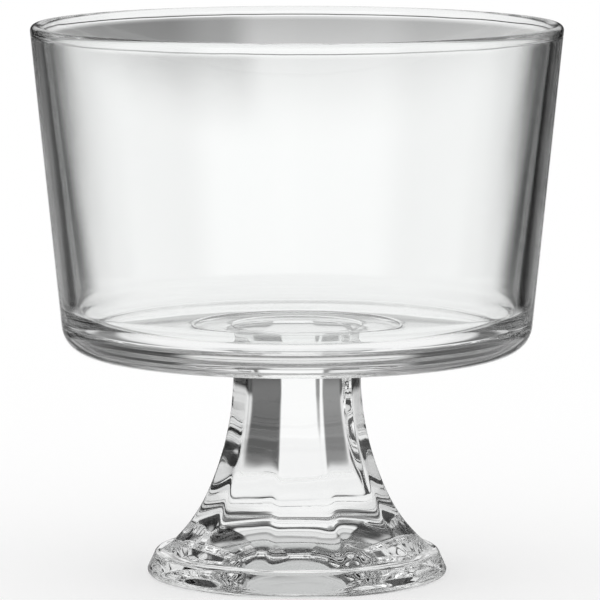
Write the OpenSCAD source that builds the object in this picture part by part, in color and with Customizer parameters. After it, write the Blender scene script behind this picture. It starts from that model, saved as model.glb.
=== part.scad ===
// Footed trifle bowl in clear pressed glass: a round bowl with a thick floor, fused onto a solid
// foot with flat panels that flare out into a round base ring, hollowed out underneath.
// Millimetres. The origin is the middle of the resting plane, +Z is up, the front is -Y.

/* [Overall] */
// Height from the resting plane to the top of the rim
overall_h = 231.5; // [200:0.5:270]
// Height of the foot, from the resting plane to the face where the bowl is fused on
foot_h = 93.7; // [87:0.1:102]

/* [Bowl] */
// Outside diameter of the bowl at its rim
rim_d = 222; // [180:1:260]
// Thickness of the wall at the rim, which is fully rounded
rim_t = 4.6; // [3:0.1:7]
// Lean of the outside wall from upright, in degrees
outer_lean = 5.7; // [2:0.1:8]
// Lean of the inside wall, which is a little more, so the wall grows thicker towards the floor
inner_lean = 6.8; // [5.8:0.1:9]
// Thickness of the floor
floor_t = 10; // [6:0.5:14]
// Radius of the outside bottom corner
corner_r = 12; // [6:0.5:18]
// Radius of the hollow corner between the floor and the inside wall
cove_r = 12; // [4:0.5:20]

/* [Floor marks] */
// Diameter of the fine ring that the plunger left on the floor
mark_d = 87.2; // [70:0.2:110]
// Width of that ring
mark_w = 1.4; // [0.8:0.1:3]
// Height of that ring above the floor
mark_h = 0.2; // [0.1:0.05:0.6]
// Height of the low round pad on the floor, over the foot
pad_h = 0.2; // [0.1:0.05:0.6]

/* [Fused joint] */
// Diameter of the round face where bowl and foot are fused
joint_d = 54.6; // [54.2:0.2:62]
// Depth of the pad below the bowl that meets the foot
seat_h = 0.8; // [0.4:0.1:2]
// Height of the round collar at the top of the foot
collar_h = 3.2; // [2:0.1:6]

/* [Foot column] */
// Number of flat panels around the column
panels = 10; // [8:2:16]
// Turn of one panel's middle from the front, in degrees
panel_turn = 4.4; // [0:0.1:36]
// Width of the neck between two opposite panels
neck_w = 51.5; // [44:0.5:51.5]
// Height of the straight neck, measured down from the fused face
neck_h = 8.5; // [5:0.5:14]
// Radius of the upper flare of the panels
upper_flare_r = 126; // [110:1:140]
// Slope at which a tighter flare takes over, which runs on to the base ring, in degrees from upright
flare_change = 24; // [20:0.5:28]

/* [Base ring] */
// Widest diameter of the base ring
base_d = 126; // [120:0.5:150]
// Height of the base ring
base_h = 10.4; // [8:0.2:14]
// Lean of the side of the ring, in degrees
base_lean = 25; // [10:1:30]
// Radius of the ring's upper edge
base_top_r = 2.5; // [1:0.1:3]
// Radius of the ring's lower edge
base_low_r = 2.2; // [1:0.1:3]
// Width of the flat land on the ring, between the ridges of the column and the ring's upper edge
ring_land = 0.5; // [0.2:0.1:3]

/* [Hollow under the foot] */
// Depth of the shallow dome that the plunger left under the foot
hollow_depth = 12; // [6:0.5:20]
// Width of the ring around the dome, out to the side of the foot, as if the edges were sharp
rest_w = 8.5; // [7:0.5:14]
// Radius of the edge around the dome
hollow_edge_r = 1; // [0.5:0.1:1.5]

/* [Hidden] */
$fn = 180;
overrun = 1;

// Part of a corner's radius at which a leaning face ends inside it, so that the two cross cleanly
tuck_share = 0.998;

// The neck and the two flares cross one another by a hair too, instead of just touching: the upper
// flare is shifted in by the tuck, and the lower one turned by the kink and used up to its height
flare_tuck = 0.01;
flare_kink = 1;
kink_h = 0.2;

// A face leans by a from upright and touches the circle (bx, bz, br). Where a second circle of
// radius r touches it too, at height z, this is how far out that circle's centre lies.
// A radius is negative where the face lies on the circle's inner side.
function beside_x(bx, bz, br, z, r, a) = bx + (br - r + (z - bz) * sin(a)) / cos(a);

// End of a face that leans by a, just inside the circle (x, z, r)
function touch(x, z, r, a) = [x, z] + tuck_share * r * [cos(a), -sin(a)];

bead_r = rim_t / 2;
bead_x = rim_d / 2 - bead_r;
bead_z = overall_h - bead_r;
corner_z = foot_h + seat_h + corner_r;
corner_x = beside_x(bead_x, bead_z, bead_r, corner_z, corner_r, outer_lean);
floor_z = foot_h + seat_h + floor_t;
cove_z = floor_z + cove_r;
inside_r = -tuck_share * bead_r;
cove_x = beside_x(bead_x, bead_z, inside_r, cove_z, cove_r, inner_lean);
joint_r = joint_d / 2;

// Inside wall, drawn on past the rim
top_z = overall_h + overrun;
top_x = beside_x(bead_x, bead_z, inside_r, top_z, 0, inner_lean);

// Base ring
ring_low_x = base_d / 2 - base_low_r;
ring_top_z = base_h - base_top_r;
ring_top_x = beside_x(ring_low_x, base_low_r, base_low_r, ring_top_z, base_top_r, -base_lean);

// Section through the middle of a panel. The lower flare starts on the upper one where it takes
// over, and its radius is the one that brings it to the ring where the land begins.
panel_a = 360 / panels;
neck_x = neck_w / 2;
flare_z = foot_h - neck_h;
upper_x = neck_x + upper_flare_r - flare_tuck;
change_x = upper_x - upper_flare_r * cos(flare_change);
change_z = flare_z - upper_flare_r * sin(flare_change);
lower_a = flare_change + flare_kink;
flare_out = (ring_top_x - ring_land) * cos(panel_a / 2) - change_x;
flare_down = change_z - base_h;
lower_flare_r = (pow(flare_out, 2) + pow(flare_down, 2)) / 2
    / (flare_out * cos(lower_a) - flare_down * sin(lower_a));
lower_x = change_x + lower_flare_r * cos(lower_a);
lower_z = change_z + lower_flare_r * sin(lower_a);
root_z = base_h - base_top_r / 8;

// The slices of the column stand around a round core, so that they don't all meet in one line
core_r = neck_x / 2;
slice_x = core_r / 2;
core_z = base_h / 2;
core_top = foot_h - collar_h / 4;
slice_top = foot_h - collar_h / 2;

// Dome under the foot, with the centre of its rounded edge
mouth_r = base_d / 2 - rest_w;
dome_r = (pow(mouth_r, 2) + pow(hollow_depth, 2)) / (2 * hollow_depth);
dome_z = hollow_depth - dome_r;
edge_x = sqrt(pow(dome_r + tuck_share * hollow_edge_r, 2) - pow(hollow_edge_r - dome_z, 2));
wedge_x = edge_x * (dome_z + overrun) / (dome_z - hollow_edge_r);

// Solid section of the bowl as if it were full
module bowl_outline() {
    polygon([[0, corner_z - corner_r], [corner_x, corner_z - corner_r],
        touch(corner_x, corner_z, corner_r, outer_lean),
        touch(bead_x, bead_z, bead_r, outer_lean),
        [bead_x, bead_z],
        touch(bead_x, bead_z, -bead_r, inner_lean), [0, bead_z]]);
    translate([corner_x, corner_z]) circle(corner_r);
    translate([bead_x, bead_z]) circle(bead_r);
    translate([0, foot_h]) square([joint_r, seat_h + floor_t / 2]);
}

// Section of the space inside the bowl
module bowl_space() {
    polygon([[0, floor_z], [cove_x, floor_z],
        touch(cove_x, cove_z, cove_r, inner_lean),
        [top_x, top_z], [0, top_z]]);
    translate([cove_x, cove_z]) circle(cove_r);
}

module bowl() {
    color("gainsboro", 0.5)
    rotate_extrude() {
        difference() {
            bowl_outline();
            bowl_space();
        }
        translate([0, floor_z - floor_t / 2]) square([joint_r, floor_t / 2 + pad_h]);
        translate([(mark_d - mark_w) / 2, floor_z - floor_t / 2])
            square([mark_w, floor_t / 2 + mark_h]);
    }
}

// Section from the axis out to the middle of one panel, from inside the ring up into the collar
module panel_section() {
    translate([0, root_z]) square([neck_x, slice_top - root_z]);
    difference() {
        translate([0, root_z]) square([base_d / 2, flare_z - root_z]);
        intersection() {
            translate([upper_x, flare_z]) circle(upper_flare_r, $fn = 360);
            union() {
                translate([0, change_z + kink_h]) square([rim_d, flare_z]);
                translate([lower_x, lower_z]) circle(lower_flare_r, $fn = 360);
            }
        }
    }
}

// Slice of the column behind one flat panel, like a slice of cake
module panel_slice() {
    intersection() {
        rotate([90, 0, 0]) linear_extrude(height = base_d, center = true) panel_section();
        linear_extrude(height = foot_h)
            polygon([[slice_x, -slice_x * tan(panel_a / 2)], [base_d, -base_d * tan(panel_a / 2)],
                [base_d, base_d * tan(panel_a / 2)], [slice_x, slice_x * tan(panel_a / 2)]]);
    }
}

module column() {
    translate([0, 0, core_z]) cylinder(r = core_r, h = core_top - core_z);
    for (i = [0 : panels - 1])
        rotate([0, 0, panel_turn - 90 + i * panel_a]) panel_slice();
}

module base_ring() {
    rotate_extrude() {
        polygon([[0, 0], [ring_low_x, 0],
            touch(ring_low_x, base_low_r, base_low_r, -base_lean),
            touch(ring_top_x, ring_top_z, base_top_r, -base_lean),
            [ring_top_x, base_h], [0, base_h]]);
        translate([ring_low_x, base_low_r]) circle(base_low_r);
        translate([ring_top_x, ring_top_z]) circle(base_top_r);
    }
}

// Dome under the foot, the top of a large ball, with its edge rounded down to the resting plane
module foot_space() {
    translate([0, 0, dome_z]) sphere(dome_r);
    rotate_extrude() {
        difference() {
            polygon([[edge_x, hollow_edge_r], [wedge_x, -overrun], [edge_x, -overrun]]);
            translate([edge_x, hollow_edge_r]) circle(hollow_edge_r);
        }
    }
}

module foot() {
    color("lightgray", 0.5)
    difference() {
        union() {
            column();
            base_ring();
            translate([0, 0, foot_h - collar_h]) cylinder(r = joint_r, h = collar_h);
        }
        foot_space();
    }
}

bowl();
foot();
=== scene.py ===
import math

import bmesh
import bpy
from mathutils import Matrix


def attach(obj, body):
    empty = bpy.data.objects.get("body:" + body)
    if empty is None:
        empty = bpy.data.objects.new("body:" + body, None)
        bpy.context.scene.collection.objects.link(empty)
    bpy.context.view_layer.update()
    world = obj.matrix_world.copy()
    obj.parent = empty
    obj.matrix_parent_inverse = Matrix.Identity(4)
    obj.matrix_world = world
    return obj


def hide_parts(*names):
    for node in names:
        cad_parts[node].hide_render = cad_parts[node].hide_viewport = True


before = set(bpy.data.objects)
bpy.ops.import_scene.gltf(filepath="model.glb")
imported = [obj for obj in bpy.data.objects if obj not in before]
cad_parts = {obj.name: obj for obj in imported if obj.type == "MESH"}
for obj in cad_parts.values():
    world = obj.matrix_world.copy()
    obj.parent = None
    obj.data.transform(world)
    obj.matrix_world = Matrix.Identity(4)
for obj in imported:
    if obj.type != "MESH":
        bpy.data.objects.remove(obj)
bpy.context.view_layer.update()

scene = bpy.context.scene
mm = 0.001
print("frame loaded:", sorted(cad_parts))


# Outlines are drawn in millimetres: out from the axis, and up. Both pieces are lathed from one, and meet
# in the round face where the glass is melted together.

jointSizes = {"height": 93.7, "radius": 27.3, "slack": 0.001}
latheSizes = {"fewestSteps": 2, "weld": 0.002}


def besideX(x, z, r, newZ, newR, lean):
    # how far out a circle lies that touches the same leaning face as the circle (x, z, r)
    a = math.radians(lean)
    return x + (r - newR + (newZ - z) * math.sin(a)) / math.cos(a)


def lathe(name, start, moves, s, shape=None):
    # draws the outline from its first point and spins one slice, which is then copied round the axis;
    # a move is a line to a point, or an arc: centre, turn and the turn of one step, in degrees
    bpy.ops.object.select_all(action="DESELECT")
    bpy.ops.mesh.primitive_plane_add(size=mm, location=(0, 0, 0))
    piece = bpy.context.object
    piece.name = piece.data.name = name
    bpy.ops.object.mode_set(mode="EDIT")
    bpy.ops.mesh.select_all(action="SELECT")
    bpy.ops.mesh.merge(type="CENTER")
    bpy.ops.transform.translate(value=(start[0] * mm, 0, start[1] * mm))
    x, z = start
    for move in moves:
        if move[0] == "line":
            newX, newZ = move[1:]
            bpy.ops.mesh.extrude_region_move(
                TRANSFORM_OT_translate={"value": ((newX - x) * mm, 0, (newZ - z) * mm)})
        else:
            # an arc is the last point spun round the arc's own centre
            cx, cz, turn, step = move[1:]
            a = math.radians(turn)
            steps = max(latheSizes["fewestSteps"], round(abs(turn) / step))
            bpy.ops.mesh.spin(steps=steps, angle=abs(a), center=(cx * mm, 0, cz * mm),
                              axis=(0, 1 if turn > 0 else -1, 0))
            newX = cx + (x - cx) * math.cos(a) - (z - cz) * math.sin(a)
            newZ = cz + (x - cx) * math.sin(a) + (z - cz) * math.cos(a)
        x, z = newX, newZ

    # long straight stretches are halved until none is longer than asked
    bpy.ops.mesh.select_mode(type="EDGE")
    mesh = bmesh.from_edit_mesh(piece.data)
    while any(edge.calc_length() > s["longest"] * mm for edge in mesh.edges):
        for edge in mesh.edges:
            edge.select_set(edge.calc_length() > s["longest"] * mm)
        bpy.ops.mesh.subdivide(number_cuts=1)
        mesh = bmesh.from_edit_mesh(piece.data)
    bpy.ops.mesh.select_mode(type="VERT")

    wedge = math.tau / s["slices"]
    bpy.ops.mesh.select_all(action="SELECT")
    bpy.ops.mesh.spin(steps=s["perSlice"], angle=wedge, center=(0, 0, 0), axis=(0, 0, 1))
    if shape:
        shape(piece, s)
    bpy.ops.mesh.select_all(action="SELECT")
    for _ in range(s["slices"] - 1):
        bpy.ops.mesh.duplicate()
        bpy.ops.transform.rotate(value=wedge, orient_axis="Z", center_override=(0, 0, 0))
    bpy.ops.mesh.select_all(action="SELECT")
    bpy.ops.mesh.remove_doubles(threshold=latheSizes["weld"] * mm)
    bpy.ops.mesh.select_all(action="SELECT")
    # the sign is turned round because a rotation without a window goes the other way
    bpy.ops.transform.rotate(value=-math.radians(s["turn"]), orient_axis="Z", center_override=(0, 0, 0))
    bpy.ops.mesh.normals_make_consistent(inside=False)
    bpy.ops.object.mode_set(mode="OBJECT")
    bpy.ops.object.shade_smooth()
    print(name, "spun:", len(piece.data.vertices), "points")
    return piece


# Bowl: one pressed piece with a rounded rim, a leaning wall and a thick floor

bowlSizes = {
    "rimRadius": 111.0,
    "height": 231.5,
    "rimThickness": 4.6,
    "outerLean": 5.7,
    "innerLean": 6.8,
    "floorThickness": 10.0,
    "cornerRadius": 12.0,
    "coveRadius": 12.0,
    "seatHeight": 0.8,
    "markRadius": 43.6,
    "markWidth": 1.4,
    "markHeight": 0.2,
    "seatStep": 15,
    "cornerStep": 3,
    "rimStep": 7.5,
    "markStep": 22.5,
    "turn": 0,
    "slices": 10,
    "perSlice": 32,
    "longest": 4.0,
}


def bowlMoves(s):
    bead = s["rimThickness"] / 2
    beadX, beadZ = s["rimRadius"] - bead, s["height"] - bead
    seat, joint, low = s["seatHeight"], jointSizes["radius"], jointSizes["height"]
    corner, cove, lean, inLean = s["cornerRadius"], s["coveRadius"], s["outerLean"], s["innerLean"]
    cornerZ = low + seat + corner
    cornerX = besideX(beadX, beadZ, bead, cornerZ, corner, lean)
    floorZ = low + seat + s["floorThickness"]
    coveZ = floorZ + cove
    coveX = besideX(beadX, beadZ, -bead, coveZ, cove, inLean)
    a, b = math.radians(lean), math.radians(inLean)
    soft = s["markHeight"]
    markOut, markIn = s["markRadius"] + s["markWidth"] / 2, s["markRadius"] - s["markWidth"] / 2
    return [
        ("line", joint, low),
        ("arc", joint + seat, low, -90, s["seatStep"]),
        ("line", cornerX, low + seat),
        ("arc", cornerX, cornerZ, 90 - lean, s["cornerStep"]),
        ("line", beadX + bead * math.cos(a), beadZ - bead * math.sin(a)),
        ("arc", beadX, beadZ, 180 + lean - inLean, s["rimStep"]),
        ("line", coveX + cove * math.cos(b), coveZ - cove * math.sin(b)),
        ("arc", coveX, coveZ, inLean - 90, s["cornerStep"]),
        ("line", markOut + soft, floorZ),
        ("arc", markOut + soft, floorZ + soft, -90, s["markStep"]),
        ("arc", markOut - soft, floorZ + soft, 90, s["markStep"]),
        ("line", markIn + soft, floorZ + 2 * soft),
        ("arc", markIn + soft, floorZ + soft, 90, s["markStep"]),
        ("arc", markIn - soft, floorZ + soft, -90, s["markStep"]),
        ("line", joint + 2 * soft, floorZ),
        ("arc", joint + 2 * soft, floorZ + soft, -90, s["markStep"]),
        ("line", joint, floorZ + soft),
        ("line", 0, floorZ + soft),
    ]


bowlGlass = lathe("bowlGlass", (0, jointSizes["height"]), bowlMoves(bowlSizes), bowlSizes)


# Foot: a solid column with ten flat panels that flare out onto a round ring, hollow underneath

footSizes = {
    "panelTurn": 4.4,
    "neckHalf": 25.75,
    "neckHeight": 8.5,
    "upperFlare": 126.0,
    "flareChange": 24.0,
    "collarHeight": 3.2,
    "collarEdge": 0.6,
    "ringRadius": 63.0,
    "ringHeight": 10.4,
    "ringLean": 25.0,
    "ringTopEdge": 2.5,
    "ringLowEdge": 2.2,
    "ringLand": 0.5,
    "restWidth": 8.5,
    "hollowDepth": 12.0,
    "hollowEdge": 1.0,
    "domeStep": 0.5,
    "hollowEdgeStep": 9,
    "lowEdgeStep": 8,
    "topEdgeStep": 7,
    "lowerFlareStep": 0.9,
    "upperFlareStep": 0.8,
    "collarStep": 15,
    "ridgeSharpness": 70,
    "insideNeck": 1.0,
    "insideRing": 6.0,
    "levelSlack": 0.01,
    "slices": 10,
    "perSlice": 32,
    "longest": 2.5,
}
# a slice is one panel, drawn from one ridge to the next and turned into its place
footSizes["turn"] = footSizes["panelTurn"] - 90 - 180 / footSizes["slices"]


def footMoves(s):
    top, depth, edge = jointSizes["height"], s["hollowDepth"], s["hollowEdge"]
    neck, upper, change = s["neckHalf"], s["upperFlare"], math.radians(s["flareChange"])
    low, high, lean = s["ringLowEdge"], s["ringTopEdge"], s["ringLean"]
    lowX, topZ = s["ringRadius"] - low, s["ringHeight"] - high
    topX = besideX(lowX, low, low, topZ, high, -lean)
    a = math.radians(lean)

    # the hollow is a shallow dome, whose edge is rounded down to the resting plane
    mouth = s["ringRadius"] - s["restWidth"]
    dome = (mouth ** 2 + depth ** 2) / (2 * depth)
    edgeX = math.sqrt((dome + edge) ** 2 - (edge + dome - depth) ** 2)
    edgeTurn = math.degrees(math.asin(edgeX / (dome + edge)))

    # the lower flare starts where the upper one ends and meets the ring just inside its rounded edge
    flareZ = top - s["neckHeight"]
    changeX, changeZ = neck + upper * (1 - math.cos(change)), flareZ - upper * math.sin(change)
    endX = (topX - s["ringLand"]) * math.cos(math.pi / s["slices"])
    outwards, down = endX - changeX, changeZ - s["ringHeight"]
    lower = (outwards ** 2 + down ** 2) / 2 / (outwards * math.cos(change) - down * math.sin(change))
    lowerX, lowerZ = changeX + lower * math.cos(change), changeZ + lower * math.sin(change)
    lowerTurn = change - math.asin((lowerZ - s["ringHeight"]) / lower)
    collar, collarZ, soft = jointSizes["radius"], top - s["collarHeight"], s["collarEdge"]
    return [
        ("arc", 0, depth - dome, -edgeTurn, s["domeStep"]),
        ("arc", edgeX, edge, edgeTurn, s["hollowEdgeStep"]),
        ("line", lowX, 0),
        ("arc", lowX, low, 90 + lean, s["lowEdgeStep"]),
        ("line", topX + high * math.cos(a), topZ + high * math.sin(a)),
        ("arc", topX, topZ, 90 - lean, s["topEdgeStep"]),
        ("line", endX, s["ringHeight"]),
        ("arc", lowerX, lowerZ, math.degrees(lowerTurn), s["lowerFlareStep"]),
        ("arc", neck + upper, flareZ, -s["flareChange"], s["upperFlareStep"]),
        ("line", neck, collarZ),
        ("line", collar - soft, collarZ),
        ("arc", collar - soft, collarZ + soft, 90, s["collarStep"]),
        ("line", collar, top),
        ("line", 0, top),
    ]


def drawFlat(piece, s):
    # scales the panel's columns of points outwards, the more the nearer to a ridge, so that it gets flat;
    # the three panels nearest to a column are added up, which rounds the ridges between them a little
    wedge = math.tau / s["slices"]
    half = s["perSlice"] // 2
    lowZ = s["ringHeight"] - s["levelSlack"]
    highZ = jointSizes["height"] - s["collarHeight"] + s["levelSlack"]
    nearR, farR = s["neckHalf"] - s["insideNeck"], s["ringRadius"] - s["insideRing"]
    mesh = bmesh.from_edit_mesh(piece.data)
    columns = [[] for _ in range(half + 1)]
    for v in mesh.verts:
        r, z = math.hypot(v.co.x, v.co.y) / mm, v.co.z / mm
        if lowZ < z < highZ and nearR < r < farR:
            fromMiddle = abs(abs(math.atan2(v.co.y, v.co.x)) - wedge / 2)
            columns[round(fromMiddle / wedge * s["perSlice"])].append(v)
    for offset in range(1, half + 1):
        a = wedge * offset / s["perSlice"]
        sides = sum(math.cos(a - panel * wedge) ** s["ridgeSharpness"] for panel in (-1, 0, 1))
        factor = sides ** (-1 / s["ridgeSharpness"])
        bpy.ops.mesh.select_all(action="DESELECT")
        for v in columns[offset]:
            v.select_set(True)
        bpy.ops.transform.resize(value=(factor, factor, 1), center_override=(0, 0, 0))
    print("panel drawn flat:", sum(len(column) for column in columns), "points")


footGlass = lathe("footGlass", (0, footSizes["hollowDepth"]), footMoves(footSizes), footSizes, drawFlat)


# Nodes are added by name, and each input is given a value or another node's output

def addNode(tree, kind, inputs, **settings):
    node = tree.nodes.new(kind)
    for key, value in settings.items():
        setattr(node, key, value)
    for key, value in inputs.items():
        if isinstance(value, bpy.types.NodeSocket):
            tree.links.new(value, node.inputs[key])
        else:
            node.inputs[key].default_value = value
    return node


def maths(tree, operation, *values):
    return addNode(tree, "ShaderNodeMath", dict(enumerate(values)), operation=operation).outputs[0]


def rise(tree, value, low, high, bottom=0.0, top=1.0):
    # goes softly from bottom to top while the value goes from low to high
    return addNode(tree, "ShaderNodeMapRange", {"Value": value, "From Min": low, "From Max": high,
                   "To Min": bottom, "To Max": top}, interpolation_type="SMOOTHSTEP").outputs[0]


def noise(tree, place, size, detail=2.0):
    # size is the distance in millimetres from one swelling to the next
    return addNode(tree, "ShaderNodeTexNoise", {"Vector": place, "Scale": 1 / (size * mm), "Detail": detail,
                   "Roughness": 0.5}).outputs["Fac"]


def newGroup(name, inputs, outputs):
    group = bpy.data.node_groups.new(name, "ShaderNodeTree")
    for side, sockets in (("INPUT", inputs), ("OUTPUT", outputs)):
        for socketName, kind in sockets:
            group.interface.new_socket(name=socketName, in_out=side, socket_type=kind)
    return group, group.nodes.new("NodeGroupInput"), group.nodes.new("NodeGroupOutput")


# Glass: clear, with shallow swellings that the hot mould left, fine ripples and faint wiping marks.
# Sizes and heights are in millimetres.

glassLooks = {
    "ior": 1.52,
    "tint": (0.99, 0.995, 0.993),
    "tintDeep": (0.975, 0.984, 0.98),
    "tintSize": 60,
    "swellingSize": 34,
    "swellingDetail": 1.0,
    "rippleSize": 9,
    "speckSize": 1.3,
    "speckHeight": 0.0004,
    "wear": 0.02,
    "wearSize": 6,
    "wearDetail": 4.0,
    "wearStretch": (1.0, 1.0, 0.2),
    "wearFrom": 0.55,
    "wearTo": 0.8,
}


def pressedSurface(s):
    group, given, made = newGroup(
        "pressedSurface",
        [("Swelling", "NodeSocketFloat"), ("Ripple", "NodeSocketFloat"), ("Tint", "NodeSocketColor"),
         ("Tint Deep", "NodeSocketColor"), ("Wear", "NodeSocketFloat")],
        [("Height", "NodeSocketFloat"), ("Colour", "NodeSocketColor"), ("Roughness", "NodeSocketFloat")])
    place = addNode(group, "ShaderNodeTexCoord", {}).outputs["Object"]
    wide = noise(group, place, s["swellingSize"], s["swellingDetail"])
    fine = noise(group, place, s["rippleSize"])
    specks = noise(group, place, s["speckSize"])
    height = maths(group, "MULTIPLY", wide, given.outputs["Swelling"])
    height = maths(group, "ADD", height, maths(group, "MULTIPLY", fine, given.outputs["Ripple"]))
    height = maths(group, "ADD", height, maths(group, "MULTIPLY", specks, s["speckHeight"] * mm))
    group.links.new(height, made.inputs["Height"])
    patches = noise(group, place, s["tintSize"])
    blend = addNode(group, "ShaderNodeMix", {"Factor": patches, "A": given.outputs["Tint"],
                    "B": given.outputs["Tint Deep"]}, data_type="RGBA")
    group.links.new(blend.outputs["Result"], made.inputs["Colour"])
    stretched = addNode(group, "ShaderNodeMapping", {"Vector": place, "Scale": s["wearStretch"]}).outputs[0]
    smear = rise(group, noise(group, stretched, s["wearSize"], s["wearDetail"]), s["wearFrom"], s["wearTo"])
    group.links.new(maths(group, "MULTIPLY", smear, given.outputs["Wear"]), made.inputs["Roughness"])
    return group


pressed = pressedSurface(glassLooks)


def clearGlass(name, swelling, ripple, seam=None):
    material = bpy.data.materials.new(name)
    material.use_nodes = True
    tree = material.node_tree
    shader = tree.nodes["Principled BSDF"]
    shader.inputs["Metallic"].default_value = 0
    shader.inputs["IOR"].default_value = glassLooks["ior"]
    shader.inputs["Transmission Weight"].default_value = 1
    surface = addNode(tree, "ShaderNodeGroup", {}, node_tree=pressed)
    for key, value in (("Swelling", swelling * mm), ("Ripple", ripple * mm), ("Wear", glassLooks["wear"]),
                       ("Tint", (*glassLooks["tint"], 1)), ("Tint Deep", (*glassLooks["tintDeep"], 1))):
        surface.inputs[key].default_value = value
    height = surface.outputs["Height"]
    if seam:
        height = maths(tree, "ADD", height, seam(tree, seamSizes))
    bump = addNode(tree, "ShaderNodeBump", {"Height": height, "Distance": 1.0, "Strength": 1.0})
    tree.links.new(bump.outputs["Normal"], shader.inputs["Normal"])
    tree.links.new(surface.outputs["Colour"], shader.inputs["Base Color"])
    tree.links.new(surface.outputs["Roughness"], shader.inputs["Roughness"])
    return material


# Mould seam: a fine line just under the lip, where the ring of the mould met its body

seamSizes = {
    "height": 227.4,
    "width": 0.5,
    "proud": 0.07,
    "wander": 0.9,
    "wanderSize": 30,
    "wanderMiddle": 0.5,
    "beyond": 108.5,
}


def mouldSeam(tree, s):
    place = addNode(tree, "ShaderNodeTexCoord", {}).outputs["Object"]
    parts = addNode(tree, "ShaderNodeSeparateXYZ", {"Vector": place}).outputs
    wander = maths(tree, "SUBTRACT", noise(tree, place, s["wanderSize"]), s["wanderMiddle"])
    wander = maths(tree, "MULTIPLY", wander, s["wander"])
    off = maths(tree, "SUBTRACT", maths(tree, "DIVIDE", parts["Z"], mm), s["height"])
    off = maths(tree, "ABSOLUTE", maths(tree, "ADD", off, wander))
    line = rise(tree, off, 0, s["width"], s["proud"] * mm, 0)
    squares = [maths(tree, "MULTIPLY", parts[key], parts[key]) for key in ("X", "Y")]
    out = maths(tree, "SQRT", maths(tree, "ADD", *squares))
    # the line is on the outside only
    return maths(tree, "MULTIPLY", line, maths(tree, "GREATER_THAN", out, s["beyond"] * mm))


def fusedFace():
    # where bowl and foot are melted together there is no surface to see
    material = bpy.data.materials.new("fusedFace")
    material.use_nodes = True
    shader = material.node_tree.nodes["Principled BSDF"]
    shader.inputs["Alpha"].default_value = 0
    return material


bowlSurface = {"swelling": 0.05, "ripple": 0.003}
footSurface = {"swelling": 1.0, "ripple": 0.02}
fused = fusedFace()


def finishGlass(piece, material):
    piece.data.materials.append(material)
    piece.data.materials.append(fused)
    jointZ, jointR, slack = (jointSizes[key] * mm for key in ("height", "radius", "slack"))
    for face in piece.data.polygons:
        level = all(abs(piece.data.vertices[i].co.z - jointZ) < slack for i in face.vertices)
        if level and math.hypot(face.center.x, face.center.y) < jointR:
            face.material_index = 1


finishGlass(bowlGlass, clearGlass("bowlGlass", **bowlSurface, seam=mouldSeam))
finishGlass(footGlass, clearGlass("footGlass", **footSurface))

for piece, node in ((bowlGlass, "bowl"), (footGlass, "foot")):
    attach(piece, "root")
    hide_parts(node)
print("glass placed")


# Camera, where the photograph was taken from: metres, millimetres of lens and sensor, and degrees

cameraSizes = {"distance": 2.2, "height": 0.3892, "lens": 317.7, "sensor": 36, "down": 7.087, "right": 0.0325}
cameraData = bpy.data.cameras.new("camera")
cameraData.lens = cameraSizes["lens"]
cameraData.sensor_width = cameraSizes["sensor"]
camera = bpy.data.objects.new("camera", cameraData)
scene.collection.objects.link(camera)
camera.location = (0, -cameraSizes["distance"], cameraSizes["height"])
camera.rotation_euler = (math.radians(90 - cameraSizes["down"]), 0, math.radians(-cameraSizes["right"]))
scene.camera = camera


# Floor: white to the camera, with the soft shadow of the glass. All other rays go through it to the studio,
# which has a table of its own.

floorSizes = {"radius": 0.85, "sides": 128, "glow": 0.55}
bpy.ops.object.select_all(action="DESELECT")
bpy.ops.mesh.primitive_circle_add(vertices=floorSizes["sides"], radius=floorSizes["radius"],
                                  fill_type="NGON", location=(0, 0, 0))
floor = bpy.context.object
floor.name = "floor"
floorPaint = bpy.data.materials.new("floorPaint")
floorPaint.use_nodes = True
tree = floorPaint.node_tree
tree.nodes.clear()
rays = addNode(tree, "ShaderNodeLightPath", {}).outputs
matt = addNode(tree, "ShaderNodeBsdfDiffuse", {"Color": (1 - floorSizes["glow"],) * 3 + (1,)})
glow = addNode(tree, "ShaderNodeEmission", {"Color": (1, 1, 1, 1), "Strength": floorSizes["glow"]})
paint = addNode(tree, "ShaderNodeAddShader", {0: matt.outputs[0], 1: glow.outputs[0]})
clear = addNode(tree, "ShaderNodeBsdfTransparent", {})
mix = addNode(tree, "ShaderNodeMixShader",
              {0: rays["Is Camera Ray"], 1: clear.outputs[0], 2: paint.outputs[0]})
addNode(tree, "ShaderNodeOutputMaterial", {"Surface": mix.outputs[0]})
floor.data.materials.append(floorPaint)
print("camera and floor set")


# Studio: soft cards and a white table around the glass. Each card lies over those before it. Its place is in
# degrees, azimuth from straight behind the glass to the right, and elevation, each as from, to, softness.
# A range that goes past 180 or 90 doesn't fade there. The last number is the card's brightness.

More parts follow.
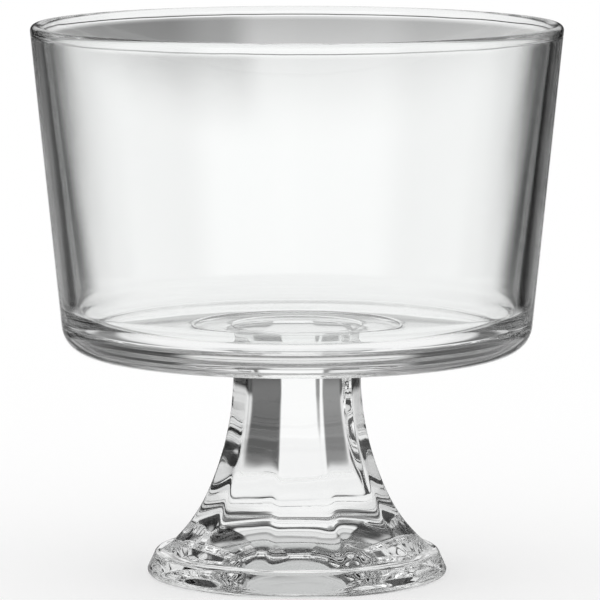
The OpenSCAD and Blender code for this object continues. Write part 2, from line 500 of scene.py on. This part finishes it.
studioBase = 0.1
studioCards = [
    ("right side", (0, 200, 4), (-91, 91, 1), 0.02),
    ("low light right", (130, 200, 12), (-12, 16, 6), 1.25),
    ("low light left", (-200, -130, 12), (-12, 16, 6), 1.15),
    ("softbox behind", (-30, 30, 6), (30, 60, 5), 0.65),
    ("softbox left", (-80, -30, 6), (30, 60, 5), 0.12),
    ("softbox right", (30, 80, 6), (30, 60, 5), 0.5),
    ("top", (-200, 200, 1), (64, 91, 6), 0.01),
    ("left card", (-75, 0, 9), (-22, 26, 6), 0.04),
    ("left card, inner part", (-14.5, 0, 5.5), (-22, 2, 4), 0.42),
    ("right card", (0, 75, 4), (-22, 26, 6), 0.12),
    ("right card, outer part", (15.5, 75, 3.5), (-22, 26, 6), 0),
    ("backdrop", (-9, 9, 2.2), (-91, -2.5, 1.4), 1),
    ("backdrop, fading", (-12, 12, 2.2), (-5.1, 2, 1.6), 0.22),
    ("backdrop, left half", (-12, -0.8, 0.3), (-5.5, 2, 1.2), 0.24),
    ("dark above the backdrop", (-25, 25, 5), (0, 6, 2), 0.02),
    ("upper light", (-20, 20, 4), (6, 16, 3), 0.92),
    ("upper light, top", (-20, 20, 4), (16, 28, 3), 0.8),
    ("upper left", (-90, -25, 5), (0, 26, 4), 0.06),
    ("upper right", (25, 90, 5), (0, 26, 4), 0.02),
    ("backdrop at the right", (84, 128, 6), (-91, 1, 3), 0.8),
    ("backdrop at the left", (-128, -84, 6), (-91, 1, 3), 0.8),
    ("table", (-200, 200, 1), (-91, -14.2, 1.5), 0.82),
    ("table near the glass", (-200, 200, 1), (-91, -45, 4), 0.95),
    ("table, middle", (-12, 12, 4), (-91, -7.6, 1.5), 0.97),
    ("left card's foot", (-27, -13, 4), (-38, -9, 3), 0.24),
    ("right card's foot", (13, 27, 4), (-38, -9, 3), 0.12),
]


def within(tree, value, low, high, soft):
    up = rise(tree, value, low - soft, low + soft)
    return maths(tree, "MULTIPLY", up, rise(tree, value, high - soft, high + soft, 1.0, 0.0))


world = bpy.data.worlds.new("studio")
scene.world = world
world.use_nodes = True
tree = world.node_tree
tree.nodes.clear()
looking = addNode(tree, "ShaderNodeTexCoord", {}).outputs["Generated"]
x, y, z = addNode(tree, "ShaderNodeSeparateXYZ", {"Vector": looking}).outputs
azimuth = maths(tree, "DEGREES", maths(tree, "ARCTAN2", x, y))
elevation = maths(tree, "DEGREES", maths(tree, "ARCSINE", z))
light = studioBase
for name, across, upright, level in studioCards:
    cover = maths(tree, "MULTIPLY", within(tree, azimuth, *across), within(tree, elevation, *upright))
    light = addNode(tree, "ShaderNodeMix", {"Factor": cover, "A": light, "B": level}).outputs["Result"]

# only the glass meets the cards; the camera and the floor meet plain white
rays = addNode(tree, "ShaderNodeLightPath", {}).outputs
glassy = maths(tree, "MAXIMUM", rays["Is Glossy Ray"], rays["Is Transmission Ray"])
seen = addNode(tree, "ShaderNodeMix", {"Factor": glassy, "A": 1.0, "B": light}).outputs["Result"]
back = addNode(tree, "ShaderNodeBackground", {"Color": (1, 1, 1, 1), "Strength": seen})
addNode(tree, "ShaderNodeOutputWorld", {"Surface": back.outputs[0]})
print("studio set:", len(studioCards), "cards")


# Light goes through many walls of glass before it comes out

lightSizes = {"bounces": 128, "transparent": 64}
scene.view_settings.view_transform = "Standard"
scene.cycles.max_bounces = lightSizes["bounces"]
scene.cycles.transmission_bounces = lightSizes["bounces"]
scene.cycles.glossy_bounces = lightSizes["bounces"]
scene.cycles.transparent_max_bounces = lightSizes["transparent"]
